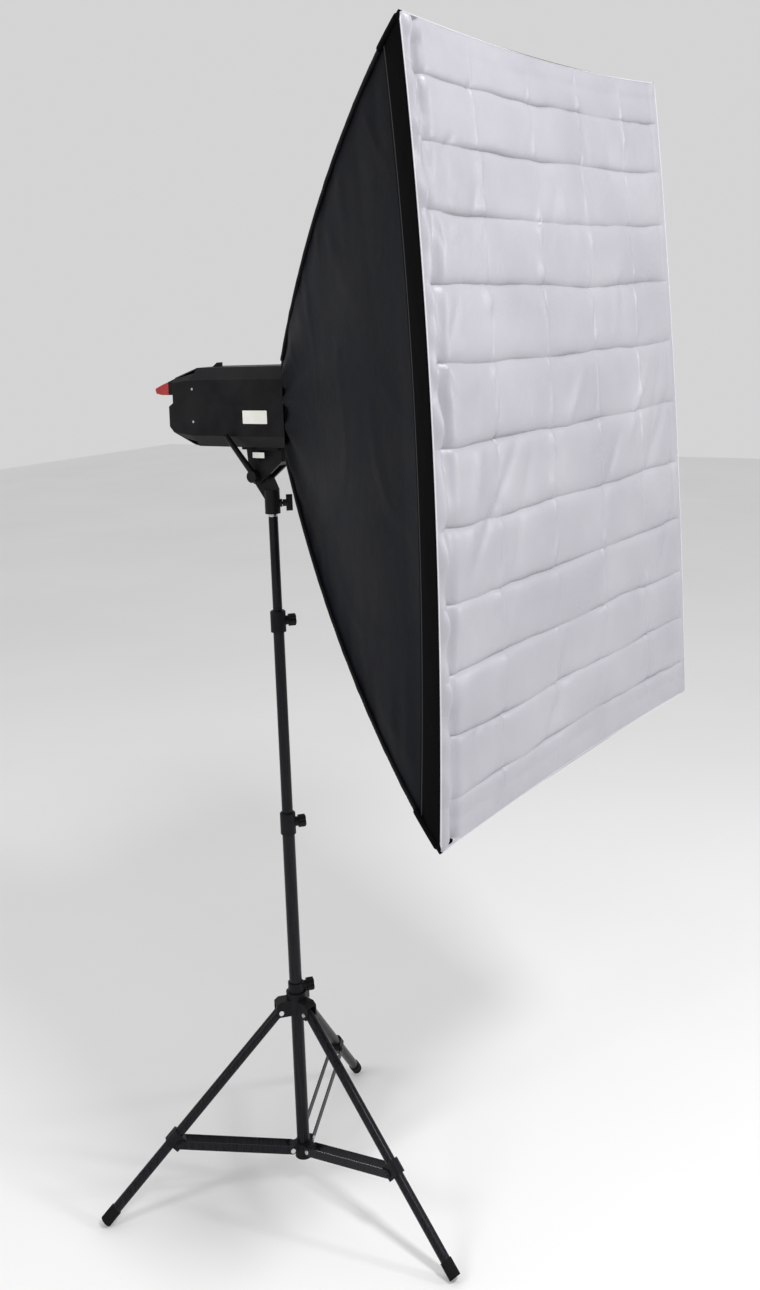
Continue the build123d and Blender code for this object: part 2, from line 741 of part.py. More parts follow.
def sync_socket():
    """The 6.35 mm sync jack's barrel."""
    with BuildPart() as made:
        with BuildSketch(cross_plane(UPPER_PANEL_Y + 1.5)):
            with Locations(SYNC_PLACE):
                Circle(5)
        extrude(amount=34)
        with BuildSketch(cross_plane(UPPER_PANEL_Y + 2.5)):
            with Locations(SYNC_PLACE):
                Circle(3.2)
        extrude(amount=31, mode=Mode.SUBTRACT)
    keep("sync_socket", made)


def body_screws():
    """Four screws that hold the rear cover in the housing, two on each side."""
    with BuildPart() as made:
        for side in (1, -1):
            with BuildSketch(side_plane(side * HEAD_HALF_WIDTH)):
                with Locations((HEAD_REAR_Y - 7, 38), (HEAD_REAR_Y - 7, -28)):
                    Circle(2.6)
            extrude(amount=side * 1.2)
    keep("body_screws", made)


def release_slider():
    """The thumb slide on top that frees the bayonet."""
    with BuildPart() as made:
        with BuildSketch(side_plane(0)):
            with BuildLine():
                Polyline((138, 80.5), (126, 88.5), (121, 88.5), (121, 80.5), close=True)
            make_face()
        extrude(amount=6, both=True)
        with BuildSketch(cross_plane(138)):
            with Locations((0, HEAD_HALF_HEIGHT - 1)):
                Rectangle(5.8, 3)
        extrude(amount=17)
    keep("release_slider", made)


def front_plate():
    """The round front plate inside the mount, which carries the lamp and the flash tube."""
    with BuildPart() as made:
        extrude(octagon(HEAD_FRONT_Y + 10, HEAD_WALL + 0.2), amount=3)
        with BuildSketch(cross_plane(HEAD_FRONT_Y + 14)):
            Circle(15)
        extrude(amount=10, mode=Mode.SUBTRACT)
    keep("front_plate", made)


def mount_ring():
    """The bayonet ring at the front, with three slots for a modifier's lugs."""
    with BuildPart() as made:
        with BuildSketch(cross_plane(HEAD_FRONT_Y)):
            Circle(MOUNT_RING_R)
            Circle(61, mode=Mode.SUBTRACT)
        extrude(amount=HEAD_FRONT_Y - MOUNT_RING_Y)
        with BuildSketch(cross_plane(HEAD_FRONT_Y)):
            with PolarLocations(61, 3, start_angle=30):
                Rectangle(9, 24)
        extrude(amount=20, mode=Mode.SUBTRACT)
    keep("mount_ring", made)


def lamp_parts():
    """The modelling lamp, its holder, the ring-shaped flash tube and the glass dome over both."""
    with BuildPart() as holder:
        with BuildSketch(cross_plane(HEAD_FRONT_Y + 45)):
            Circle(14.8)
        extrude(amount=47)
        with BuildSketch(cross_plane(HEAD_FRONT_Y + 10)):
            Circle(11)
        extrude(amount=14, mode=Mode.SUBTRACT)
    keep("lamp_holder", holder)

    with BuildPart() as lamp:
        with BuildSketch(cross_plane(HEAD_FRONT_Y + 9)):
            Circle(10.8)
        extrude(amount=24)
        with Locations((0, HEAD_FRONT_Y - 34, AXIS_Z)):
            Sphere(21)
    keep("modelling_lamp", lamp)

    with BuildPart() as flash:
        with Locations(Location((0, HEAD_FRONT_Y - 24, AXIS_Z), (90, 0, 0))):
            Torus(36, 4.5)
        with BuildSketch(cross_plane(HEAD_FRONT_Y + 7)):
            with Locations((-36, 0), (36, 0)):
                Circle(3)
        extrude(amount=30)
    keep("flash_tube", flash)

    with BuildPart() as dome:
        with BuildSketch(cross_plane(HEAD_FRONT_Y + 7)):
            Circle(52)
            Circle(49.5, mode=Mode.SUBTRACT)
        extrude(amount=37)
        with BuildSketch(Plane(origin=(0, HEAD_FRONT_Y - 30, AXIS_Z), x_dir=(1, 0, 0), z_dir=(0, 0, 1))):
            with BuildLine():
                CenterArc((0, 0), 52, -90, 90)
                Line((52, 0), (49.5, 0))
                CenterArc((0, 0), 49.5, -90, 90)
                Line((0, -49.5), (0, -52))
            make_face()
        revolve(axis=Axis((0, 0, AXIS_Z), (0, 1, 0)))
    keep("glass_dome", dome)


def electronics():
    """The flash capacitors and the charging board inside the housing."""
    with BuildPart() as capacitors:
        with BuildSketch(cross_plane(110)):
            with Locations((-29, -34), (29, -34)):
                Circle(27)
        extrude(amount=110)
        fillet(capacitors.edges().filter_by(GeomType.CIRCLE), 3)
    keep("flash_capacitors", capacitors)

    with BuildPart() as board:
        with BuildSketch(cross_plane(135)):
            with Locations((0, 12)):
                Rectangle(112, 1.6)
        extrude(amount=170)
        with BuildSketch(cross_plane(120)):
            with Locations((-32, 28), (34, 25)):
                Rectangle(30, 29)
        extrude(amount=40)
        with BuildSketch(cross_plane(60)):
            with Locations((0, 26)):
                Rectangle(60, 26.5)
        extrude(amount=50)
    keep("circuit_board", board)


# Softbox ---------------------------------------------------------------------------------
def station(share):
    """Half width, y and half height of the bowed shell, from its rear edge (0) to the front (1)."""
    swell = share * (1 - share)
    return (
        SHELL_REAR_HALF + share * (FACE_HALF_WIDTH - SHELL_REAR_HALF) + swell * SHELL_BOW[0],
        SHELL_REAR_Y + share * (FACE_Y - SHELL_REAR_Y),
        SHELL_REAR_HALF + share * (FACE_HALF_HEIGHT - SHELL_REAR_HALF) + swell * SHELL_BOW[1],
    )


def speedring():
    """The softbox's ring: three bayonet lugs behind and four tubes for the rods in front."""
    ring_r, rear, thickness = 78.0, MOUNT_RING_Y - 0.4, 14.0
    with BuildPart() as made:
        with BuildSketch(cross_plane(rear)):
            Circle(ring_r)
            Circle(63, mode=Mode.SUBTRACT)
        extrude(amount=thickness)
        with BuildSketch(cross_plane(rear + 7)):
            with PolarLocations(57.5, 3, start_angle=30):
                Rectangle(5, 18)
        extrude(amount=9)
        with BuildSketch(cross_plane(rear)):
            Circle(64)
            Circle(56, mode=Mode.SUBTRACT)
        extrude(amount=3)
        for sx in (1, -1):
            for sz in (1, -1):
                path = rod_path(sx, sz)
                start, along = path @ 0, path % 0
                with BuildSketch(Plane(origin=start - along * 8, z_dir=along)):
                    Circle(6)
                extrude(amount=34)
                with BuildSketch(Plane(origin=start, z_dir=along)):
                    Circle(ROD_R + 0.6)
                extrude(amount=40, mode=Mode.SUBTRACT)
    keep("speedring", made)


def rod_path(sx, sz):
    """The bowed centre line of one rod, from the speedring to its corner pocket."""
    points = [(sx * x, y, AXIS_Z + sz * z) for x, y, z in (ROD_START, ROD_MIDDLE, ROD_END)]
    with BuildLine() as line:
        ThreePointArc(*points)
    return line.line.edges()[0]


def rods():
    """Four sprung steel rods, bowed between the speedring and the corner pockets."""
    with BuildPart() as made:
        for sx in (1, -1):
            for sz in (1, -1):
                path = rod_path(sx, sz)
                with BuildSketch(Plane(origin=path @ 0, z_dir=path % 0)):
                    Circle(ROD_R)
                sweep(path=path)
    keep("rods", made)


def panel(name, corners):
    """One fabric panel in flat facets. corners gives the four points of the panel at a station."""
    with BuildPart() as made:
        sections = [corners(*station(share)) for share in SHELL_STATIONS]
        for behind, ahead in zip(sections, sections[1:]):
            ConvexPolyhedron([Vector(*point) for point in behind + ahead])
    keep(name, made)


def level_panel(name, side):
    """The top or bottom panel, as wide as the whole shell."""

    def corners(half_width, y, half_height):
        return [
            (x, y, AXIS_Z + side * z)
            for x in (half_width, -half_width)
            for z in (half_height, half_height - FABRIC)
        ]

    panel(name, corners)


def upright_panel(name, side):
    """The left or right panel, between the top one and the bottom one."""

    def corners(half_width, y, half_height):
        return [
            (side * x, y, AXIS_Z + z)
            for x in (half_width, half_width - FABRIC)
            for z in (half_height - FABRIC, FABRIC - half_height)
        ]

    panel(name, corners)


def diffusers():
    """The front diffuser and the inner baffle, which hangs half way along the rods."""
    half_width, baffle_y, half_height = station(BAFFLE_STATION)
    with BuildPart() as front:
        with BuildSketch(cross_plane(FACE_Y)):
            Rectangle(2 * FACE_HALF_WIDTH, 2 * FACE_HALF_HEIGHT)
        extrude(amount=FABRIC)
    keep("front_diffuser", front)
    with BuildPart() as baffle:
        with BuildSketch(cross_plane(baffle_y)):
            Rectangle(2 * (half_width - BAFFLE_MARGIN), 2 * (half_height - BAFFLE_MARGIN))
        extrude(amount=FABRIC)
    keep("inner_baffle", baffle)


def build_stand():
    base_tube()
    hub()
    rivets("hub_rivets", HUB_PIVOT, BAR_GAP / 2 + BAR_THICKNESS + 0.2)
    crown()
    rivets("crown_rivets", CROWN_PIVOT, CROWN_EAR_HALF)
    for number, azimuth in enumerate(LEG_AZIMUTHS, 1):
        leg(number, azimuth)
        brace(number, azimuth)
    clamp_collar("lower_collar", LOWER_COLLAR_Z, BASE_OD, RISER_1_OD)
    clamp_collar("upper_collar", UPPER_COLLAR_Z, RISER_1_OD, RISER_2_OD)
    clamp_knob("crown_knob", CROWN_KNOB_Z, BASE_OD / 2 + 0.4, 21.0)
    clamp_knob("lower_knob", LOWER_COLLAR_Z + COLLAR_HEIGHT / 2, RISER_1_OD / 2 + 0.4, 20.5)
    clamp_knob("upper_knob", UPPER_COLLAR_Z + COLLAR_HEIGHT / 2, RISER_2_OD / 2 + 0.4, 20.5)
    riser("riser_1_tube", RISER_1_OD, RISER_1_BOTTOM, RISER_1_TOP, UPPER_COLLAR_Z + COLLAR_HEIGHT / 2)
    riser_bush("riser_1_bush", RISER_1_OD, RISER_1_BOTTOM, BASE_OD / 2 - TUBE_WALL - 0.08)
    riser("riser_2_tube", RISER_2_OD, RISER_2_BOTTOM, RISER_2_TOP)
    riser_bush("riser_2_bush", RISER_2_OD, RISER_2_BOTTOM, RISER_1_OD / 2 - TUBE_WALL - 0.08)
    spigot()


def build_head():
    stand_socket()
    wing_screw()
    tilt_bolt()
    tilt_lever()
    head_bracket()
    housing()
    rear_cover()
    handle_arms()
    slave_cover()
    dial("flash_dial", -DIAL_X)
    dial("lamp_dial", DIAL_X)
    power_switch()
    test_button()
    mains_inlet()
    sync_socket()
    body_screws()
    release_slider()
    front_plate()
    mount_ring()
    lamp_parts()
    electronics()


def build_softbox():
    speedring()
    rods()
    level_panel("shell_top", 1)
    level_panel("shell_bottom", -1)
    upright_panel("shell_left", -1)
    upright_panel("shell_right", 1)
    diffusers()


build_stand()
build_head()
build_softbox()
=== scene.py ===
"""Looks of a studio softbox on a monolight flash head and a folding light stand.

Lengths are in metres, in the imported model's frame: +Z is up and the softbox faces -Y.
"""
import json
import math
import random

import bmesh
import bpy
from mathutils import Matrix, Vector, noise


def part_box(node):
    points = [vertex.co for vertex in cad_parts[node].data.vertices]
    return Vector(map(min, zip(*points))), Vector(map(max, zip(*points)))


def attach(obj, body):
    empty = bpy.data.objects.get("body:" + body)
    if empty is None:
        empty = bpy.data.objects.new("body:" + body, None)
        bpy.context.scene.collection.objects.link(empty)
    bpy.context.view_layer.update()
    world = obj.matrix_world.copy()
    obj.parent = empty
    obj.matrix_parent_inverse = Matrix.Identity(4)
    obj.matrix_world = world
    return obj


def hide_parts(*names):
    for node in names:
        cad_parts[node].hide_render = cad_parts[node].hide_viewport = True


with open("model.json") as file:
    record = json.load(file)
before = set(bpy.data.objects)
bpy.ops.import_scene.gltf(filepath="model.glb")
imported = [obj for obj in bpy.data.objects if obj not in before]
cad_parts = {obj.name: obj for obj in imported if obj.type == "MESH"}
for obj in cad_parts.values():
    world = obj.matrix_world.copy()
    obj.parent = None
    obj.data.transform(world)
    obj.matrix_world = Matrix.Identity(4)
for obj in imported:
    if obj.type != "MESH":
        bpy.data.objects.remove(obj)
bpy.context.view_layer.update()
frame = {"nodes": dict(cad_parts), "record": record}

nodes = frame["nodes"]

# Driving places, read from the frame -----------------------------------------------------
FACE_LOW, FACE_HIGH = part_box("front_diffuser")
BAFFLE_LOW, BAFFLE_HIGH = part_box("inner_baffle")
AXIS_Z = (FACE_LOW.z + FACE_HIGH.z) / 2
HALF_W = FACE_HIGH.x
HALF_H = (FACE_HIGH.z - FACE_LOW.z) / 2
FRONT_Y = FACE_HIGH.y
REAR_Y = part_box("shell_top")[1].y
HEAD_SIDE_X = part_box("housing")[0].x
BRACKET_SIDE_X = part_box("head_bracket")[0].x
LIP_DEPTH = 0.043
LIP_START = 1 - LIP_DEPTH / (REAR_Y - FRONT_Y)  # where the lip begins, as a share of the depth
REAR_HALF = 0.084

# Fabric ----------------------------------------------------------------------------------
CLOTH = 0.0006
UPPER_BOW = (0.096, 0.112)  # how far the rods' bow swells the half width and half height
LOWER_BOW = (0.108, 0.126)
PANEL_SAG = 0.020
EDGE_PULL_TOP = 0.016
EDGE_PULL_BOTTOM = 0.009
EDGE_PULL_SIDE = 0.010
FACE_BULGE = 0.015
CORNER_R = 0.010
CREASE_ROWS = 11
FIRST_CREASE = 0.082
CREASE_SPAN = 1.056
CREASE_DRIFT = (0.018, 0.023)  # how far the creases stray from even spacing
COLUMN_PITCH = 0.18
STRIP_PILLOW = 0.0036
GROOVE = (0.0034, 0.0042)  # depth and width of a storage crease
COLUMN_GROOVE = (0.0042, 0.0036)
FOLD_REACH = 0.16  # no fold is longer than this
HEM_REACH = 0.12
HEM_ROLL = (0.005, 0.012, 0.010)  # height, distance from the edge, and width
HEM_GROOVE = (0.0120, 0.034, 0.011)
HEM_GATHER = (0.018, 0.035)  # height, and how far in from the edge it dies away
FREE_BORDER = 0.03  # the creases fade out over this distance from the edge
FACE_GAP = 0.0012
ROD_PUCKER = 0.010
REAR_FOLD = 0.005
PANEL_SLACK = 0.012
SHARP_FOLD = 0.0012
SLEEVE_R = 0.0075
POCKET_R = 0.0105
STITCH_OUT = 0.0028  # how far the zigzag stands off a rib's line
STITCH_SWING = 0.0042  # half the zigzag's width
BAFFLE_PULL = 0.018
STRAP_R = 0.004

# Labels ----------------------------------------------------------------------------------
LABEL_THICKNESS = 0.0004
LABEL_CORNER_R = 0.0015

# Stage, light and camera -----------------------------------------------------------------
FLOOR_REACH = 12.0
FLOOR_Z = -0.001
WORLD_STRENGTH = 0.66
LIGHTS = (  # name, place, target, size and power
    ("key", (-0.9, -2.7, 4.0), (0, -0.6, 1.5), (0.6, 0.6), 92),
    ("glint", (1.3, -3.3, 2.0), (0, -0.6, 1.5), (0.3, 0.5), 26),
    ("side", (-3.2, 0.8, 2.9), (-0.3, -0.3, 1.5), (0.7, 1.2), 34),
)
CAMERA_PLACE = (-1.9958, -1.6739, 1.7140)
CAMERA_TURN = (-53.0097, -0.3515, -2.7954)  # azimuth, slope down and roll, in degrees
CAMERA_LENS = 36.279907  # mm, on a sensor 36 mm high
CAMERA_SENSOR = 36.0
CAMERA_SHIFT = (0.0376512, -0.2572713)


# Small maths helpers ---------------------------------------------------------------------
def lerp(a, b, t):
    return a + (b - a) * t


def hump(t):
    """0 at both ends and 1 in the middle."""
    return 4 * t * (1 - t)


def smooth_step(t):
    t = min(max(t, 0.0), 1.0)
    return t * t * (3 - 2 * t)


def wobble(x, y, z=0.0):
    """Smooth noise between about -1 and 1."""
    return noise.noise(Vector((x, y, z)))


# Materials -------------------------------------------------------------------------------
def new_material(name, color, roughness, metallic=0.0, specular=0.5):
    material = bpy.data.materials.new(name)
    material.use_nodes = True
    shader = material.node_tree.nodes["Principled BSDF"]
    shader.inputs["Base Color"].default_value = (*color, 1)
    shader.inputs["Roughness"].default_value = roughness
    shader.inputs["Metallic"].default_value = metallic
    shader.inputs["Specular IOR Level"].default_value = specular
    return material, material.node_tree, shader


def add_node(tree, kind, **settings):
    made = tree.nodes.new(kind)
    for key, value in settings.items():
        if key in made.inputs:
            made.inputs[key].default_value = value
        else:
            setattr(made, key, value)
    return made


def object_coordinates(tree, stretch=(1, 1, 1)):
    source = add_node(tree, "ShaderNodeTexCoord")
    mapping = add_node(tree, "ShaderNodeMapping", Scale=stretch)
    tree.links.new(source.outputs["Object"], mapping.inputs["Vector"])
    return mapping.outputs["Vector"]


def mottled_color(tree, shader, coordinates, light, dark, scale, detail=4.0):
    """Varies the base colour softly between two tones."""
    texture = add_node(tree, "ShaderNodeTexNoise", Scale=scale, Detail=detail)
    ramp = add_node(tree, "ShaderNodeValToRGB")
    ramp.color_ramp.elements[0].position = 0.35
    ramp.color_ramp.elements[1].position = 0.68
    ramp.color_ramp.elements[0].color = (*dark, 1)
    ramp.color_ramp.elements[1].color = (*light, 1)
    tree.links.new(coordinates, texture.inputs["Vector"])
    tree.links.new(texture.outputs["Fac"], ramp.inputs["Fac"])
    tree.links.new(ramp.outputs["Color"], shader.inputs["Base Color"])
    return texture


def varied_roughness(tree, shader, texture, low, high):
    spread = add_node(tree, "ShaderNodeMapRange")
    spread.inputs["From Min"].default_value = 0.3
    spread.inputs["From Max"].default_value = 0.7
    spread.inputs["To Min"].default_value = low
    spread.inputs["To Max"].default_value = high
    tree.links.new(texture.outputs["Fac"], spread.inputs["Value"])
    tree.links.new(spread.outputs["Result"], shader.inputs["Roughness"])


def grain_bump(tree, shader, coordinates, scale, strength, distance=0.0004, detail=2.0):
    grain = add_node(tree, "ShaderNodeTexNoise", Scale=scale, Detail=detail)
    bump = add_node(tree, "ShaderNodeBump", Strength=strength, Distance=distance)
    tree.links.new(coordinates, grain.inputs["Vector"])
    tree.links.new(grain.outputs["Fac"], bump.inputs["Height"])
    tree.links.new(bump.outputs["Normal"], shader.inputs["Normal"])
    return bump


def weave_bump(tree, shader, pitch, strength, soft_scale, soft_strength):
    """Warp and weft from two wave textures, over softer handling marks."""
    uv = add_node(tree, "ShaderNodeTexCoord").outputs["UV"]
    height = None
    for direction in ("X", "Y"):
        wave = add_node(
            tree, "ShaderNodeTexWave", Scale=0.314 / pitch, bands_direction=direction, Distortion=0.6
        )
        tree.links.new(uv, wave.inputs["Vector"])
        if height is None:
            height = wave.outputs["Fac"]
        else:
            both = add_node(tree, "ShaderNodeMath", operation="MULTIPLY")
            tree.links.new(height, both.inputs[0])
            tree.links.new(wave.outputs["Fac"], both.inputs[1])
            height = both.outputs["Value"]
    soft = grain_bump(tree, shader, object_coordinates(tree), soft_scale, soft_strength, 0.003, 5.0)
    fine = add_node(tree, "ShaderNodeBump", Strength=strength, Distance=pitch * 0.25)
    tree.links.new(height, fine.inputs["Height"])
    tree.links.new(soft.outputs["Normal"], fine.inputs["Normal"])
    tree.links.new(fine.outputs["Normal"], shader.inputs["Normal"])


def cloth_material(name, light, dark, roughness, sheen, pitch=0.0011, specular=0.5):
    material, tree, shader = new_material(name, light, roughness[0], 0.0, specular)
    marks = mottled_color(tree, shader, object_coordinates(tree), light, dark, 6.0)
    varied_roughness(tree, shader, marks, *roughness)
    weave_bump(tree, shader, pitch, 0.35, 38.0, 0.25)
    shader.inputs["Sheen Weight"].default_value = sheen
    shader.inputs["Sheen Roughness"].default_value = 0.4
    return material


def tube_material():
    """Satin black anodising with fine drawn lines along the tube."""
    material, tree, shader = new_material("stand_black_anodised", (0.008, 0.008, 0.01), 0.3, 0.0, 0.14)
    marks = mottled_color(
        tree, shader, object_coordinates(tree, (90, 90, 6)), (0.011, 0.012, 0.015), (0.006, 0.006, 0.008), 3.0
    )
    varied_roughness(tree, shader, marks, 0.22, 0.36)
    grain_bump(tree, shader, object_coordinates(tree, (900, 900, 30)), 1.0, 0.06)
    return material


def plastic_material(name, light, dark, roughness, grain=1400.0, strength=0.12, specular=0.5):
    material, tree, shader = new_material(name, light, roughness[0], 0.0, specular)
    marks = mottled_color(tree, shader, object_coordinates(tree), light, dark, 22.0)
    varied_roughness(tree, shader, marks, *roughness)
    grain_bump(tree, shader, object_coordinates(tree), grain, strength)
    return material


def metal_material(name, color, roughness, stretch=(60, 60, 60)):
    material, tree, shader = new_material(name, color, roughness[0], 1.0)
    dark = tuple(0.8 * c for c in color)
    marks = mottled_color(tree, shader, object_coordinates(tree, stretch), color, dark, 4.0)
    varied_roughness(tree, shader, marks, *roughness)
    grain_bump(tree, shader, object_coordinates(tree, stretch), 12.0, 0.05)
    return material


def red_window_material():
    """Deep red transparent plastic, its tone mottled softly between two reds."""
    material, tree, shader = new_material("red_window", (0.55, 0.012, 0.02), 0.18)
    mottled_color(tree, shader, object_coordinates(tree), (0.62, 0.02, 0.025), (0.4, 0.006, 0.014), 40.0)
    grain_bump(tree, shader, object_coordinates(tree), 260.0, 0.05)
    shader.inputs["Transmission Weight"].default_value = 0.35
    shader.inputs["IOR"].default_value = 1.49
    shader.inputs["Coat Weight"].default_value = 0.4
    return material


def glass_material():
    material, tree, shader = new_material("lamp_glass", (0.96, 0.95, 0.93), 0.06)
    mottled_color(tree, shader, object_coordinates(tree), (0.97, 0.96, 0.94), (0.9, 0.9, 0.88), 8.0)
    grain_bump(tree, shader, object_coordinates(tree), 30.0, 0.03)
    shader.inputs["Transmission Weight"].default_value = 0.85
    return material


MATERIALS = {
    "stand_tube": tube_material(),
    "stand_plastic": plastic_material(
        "collar_plastic", (0.012, 0.012, 0.014), (0.006, 0.006, 0.007), (0.36, 0.5), specular=0.1
    ),
    "knob_plastic": plastic_material(
        "knob_plastic", (0.010, 0.010, 0.011), (0.005, 0.005, 0.006), (0.3, 0.45), specular=0.1
    ),
    "bright_steel": metal_material("rivet_steel", (0.62, 0.62, 0.64), (0.22, 0.38)),
    "foot_rubber": plastic_material(
        "foot_rubber", (0.010, 0.010, 0.010), (0.006, 0.006, 0.006), (0.6, 0.8), 700, 0.3, 0.06
    ),
    "nylon": plastic_material("natural_nylon", (0.8, 0.8, 0.76), (0.7, 0.7, 0.66), (0.4, 0.5)),
    "bracket_metal": plastic_material(
        "bracket_paint", (0.010, 0.010, 0.011), (0.006, 0.006, 0.007), (0.26, 0.42), 520, 0.12, 0.12
    ),
    "housing_metal": plastic_material(
        "housing_paint", (0.011, 0.011, 0.012), (0.006, 0.006, 0.007), (0.38, 0.5), 900, 0.25, 0.09
    ),
    "cover_plastic": plastic_material(
        "cover_plastic", (0.011, 0.011, 0.012), (0.006, 0.006, 0.007), (0.4, 0.52), 1100, 0.25, 0.09
    ),
    "red_window": red_window_material(),
    "bare_aluminium": metal_material("bare_aluminium", (0.75, 0.75, 0.76), (0.28, 0.42)),
    "lamp_glass": glass_material(),
    "ceramic": plastic_material("ceramic", (0.84, 0.82, 0.78), (0.76, 0.74, 0.7), (0.25, 0.4), 300, 0.08),
    "circuit": plastic_material(
        "circuit_board", (0.03, 0.16, 0.07), (0.02, 0.1, 0.05), (0.35, 0.5), 200, 0.2
    ),
    "black_nylon": cloth_material(
        "shell_nylon", (0.0045, 0.0055, 0.009), (0.0015, 0.002, 0.0035), (0.38, 0.54), 0.0, 0.0011, 0.07
    ),
    "white_nylon": cloth_material(
        "diffuser_nylon", (0.40, 0.395, 0.432), (0.355, 0.35, 0.388), (0.27, 0.38), 0.0
    ),
    "lip": cloth_material(
        "lip_cotton", (0.003, 0.003, 0.003), (0.0015, 0.0015, 0.002), (0.8, 0.95), 0.0, 0.0015, 0.05
    ),
    "sleeve": cloth_material(
        "sleeve_webbing", (0.005, 0.005, 0.006), (0.003, 0.003, 0.004), (0.7, 0.85), 0.01, 0.0018, 0.18
    ),
    "thread": plastic_material("thread", (0.02, 0.02, 0.022), (0.01, 0.01, 0.01), (0.6, 0.8), 900, 0.3),
    "piping": cloth_material(
        "piping", (0.62, 0.61, 0.65), (0.55, 0.54, 0.58), (0.5, 0.65), 0.1, 0.0009
    ),
    "label": plastic_material(
        "blank_label", (0.82, 0.81, 0.76), (0.76, 0.75, 0.7), (0.3, 0.42), 200, 0.03
    ),
}


def dress_frame():
    """Gives each carried-over CAD node the procedural material of its slot."""
    slots = {row["node"]: row["material_slot"] for row in frame["record"]["subparts"]}
    for name, node in nodes.items():
        for place in node.material_slots:
            place.material = MATERIALS[slots[name]]


# Mesh helpers ----------------------------------------------------------------------------
def finish_piece(piece, material, body):
    piece.data.materials.append(MATERIALS[material])
    for face in piece.data.polygons:
        face.use_smooth = True
    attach(piece, body)
    return piece


def new_object(name, mesh):
    piece = bpy.data.objects.new(name, mesh)
    bpy.context.scene.collection.objects.link(piece)
    return piece


def even(count):
    return [k / count for k in range(count + 1)]


def grid(name, columns, rows, place, size, closed=False):
    """A surface over two lists of shares from 0 to 1, or over even counts of cells.

    place(u, v) gives a point, and size the width and height of the UV map in metres.
    """
    columns = even(columns) if isinstance(columns, int) else columns
    rows = even(rows) if isinstance(rows, int) else rows
    wide, tall = len(columns) - 1, len(rows) - 1
    across = wide if closed else wide + 1
    points = [place(u, v) for v in rows for u in columns[:across]]
    faces, corners = [], []
    for j in range(tall):
        for i in range(wide):
            right = (i + 1) % across
            faces.append((j * across + i, j * across + right, (j + 1) * across + right, (j + 1) * across + i))
            corners += [(i, j), (i + 1, j), (i + 1, j + 1), (i, j + 1)]
    mesh = bpy.data.meshes.new(name)
    mesh.from_pydata(points, [], faces)
    layer = mesh.uv_layers.new(name="cloth")
    for loop, (i, j) in enumerate(corners):
        layer.data[loop].uv = (columns[i] * size[0], rows[j] * size[1])
    return new_object(name, mesh)


def thicken(piece, thickness, offset=0.0):
    modifier = piece.modifiers.new("thickness", "SOLIDIFY")
    modifier.thickness = thickness
    modifier.offset = offset
    modifier.use_even_offset = False


def tube(name, path, radius, sides=8, closed=False, flatten=1.0, flat_axis=None):
    """A tube along a list of points. flatten squeezes it along flat_axis."""
    count = len(path)
    points, faces = [], []
    for k, centre in enumerate(path):
        ahead = path[(k + 1) % count] if closed or k + 1 < count else centre
        behind = path[k - 1] if closed or k else centre
        along = (ahead - behind).normalized()
        side = along.cross(flat_axis or Vector((0, -1, 0.001))).normalized()
        up = side.cross(along).normalized()
        for s in range(sides):
            a = 2 * math.pi * s / sides
            points.append(centre + side * (radius * math.cos(a)) + up * (radius * flatten * math.sin(a)))
    rings = count if closed else count - 1
    for k in range(rings):
        base, ahead = k * sides, (k + 1) % count * sides
        for s in range(sides):
            following = (s + 1) % sides
            faces.append((base + s, base + following, ahead + following, ahead + s))
    if not closed:
        faces.append(tuple(reversed(range(sides))))
        faces.append(tuple(range((count - 1) * sides, count * sides)))
    mesh = bpy.data.meshes.new(name)
    mesh.from_pydata(points, [], faces)
    mesh.uv_layers.new(name="cloth")
    return new_object(name, mesh)


# Softbox shape ---------------------------------------------------------------------------
OUTWARD = {
    "left": Vector((-1, 0, 0)),
    "right": Vector((1, 0, 0)),
    "top": Vector((0, 0, 1)),
    "bottom": Vector((0, 0, -1)),
}
RIBS = {  # the two rods that hold each panel, as the signs of x and z
    "left": ((-1, -1), (-1, 1)),
    "right": ((1, -1), (1, 1)),
    "top": ((-1, 1), (1, 1)),
    "bottom": ((-1, -1), (1, -1)),
}
WRINKLE_SEED = {"left": 3.1, "right": 11.7, "top": 23.9, "bottom": 37.3}


def rib(sx, sz, t):
    """A point of a rod's rib, t from the shell's rear edge (0) to its front corner (1)."""
    bow = UPPER_BOW if sz > 0 else LOWER_BOW
    half_w = lerp(REAR_HALF, HALF_W, t) + bow[0] * t * (1 - t)
    half_h = lerp(REAR_HALF, HALF_H, t) + bow[1] * t * (1 - t)
    return Vector((sx * half_w, lerp(REAR_Y, FRONT_Y, t), AXIS_Z + sz * half_h))


def panel_width(side, t):
    first, second = RIBS[side]
    return (rib(*first, t) - rib(*second, t)).length


def panel_length(side, t):
    """Slant length of a panel's middle line from its rear edge to t."""
    first, second = RIBS[side]
    start = rib(*first, 0).lerp(rib(*second, 0), 0.5)
    return (rib(*first, t).lerp(rib(*second, t), 0.5) - start).length


def edge_pull(side, u):
    """How far a front edge is pulled in, and how far it bulges forwards, at u along the edge."""
    pull = {"top": EDGE_PULL_TOP, "bottom": EDGE_PULL_BOTTOM}.get(side, EDGE_PULL_SIDE)
    forward = FACE_BULGE if side in ("left", "right") else 0.002
    return pull * hump(u), forward * hump(u)


def shell_point(side, u, t):
    """A point of one shell panel, u between its two rods and t from the rear edge to the front."""
    first, second = RIBS[side]
    point = rib(*first, t).lerp(rib(*second, t), u)
    pull, forward = edge_pull(side, u)
    near_front = smooth_step((t - 0.5) / 0.5)
    sag = PANEL_SAG * hump(u) ** 0.8 * math.sin(math.pi * t)
    point += OUTWARD[side] * (panel_wrinkles(side, u, t) - sag - pull * near_front)
    point.y -= forward * near_front
    return point


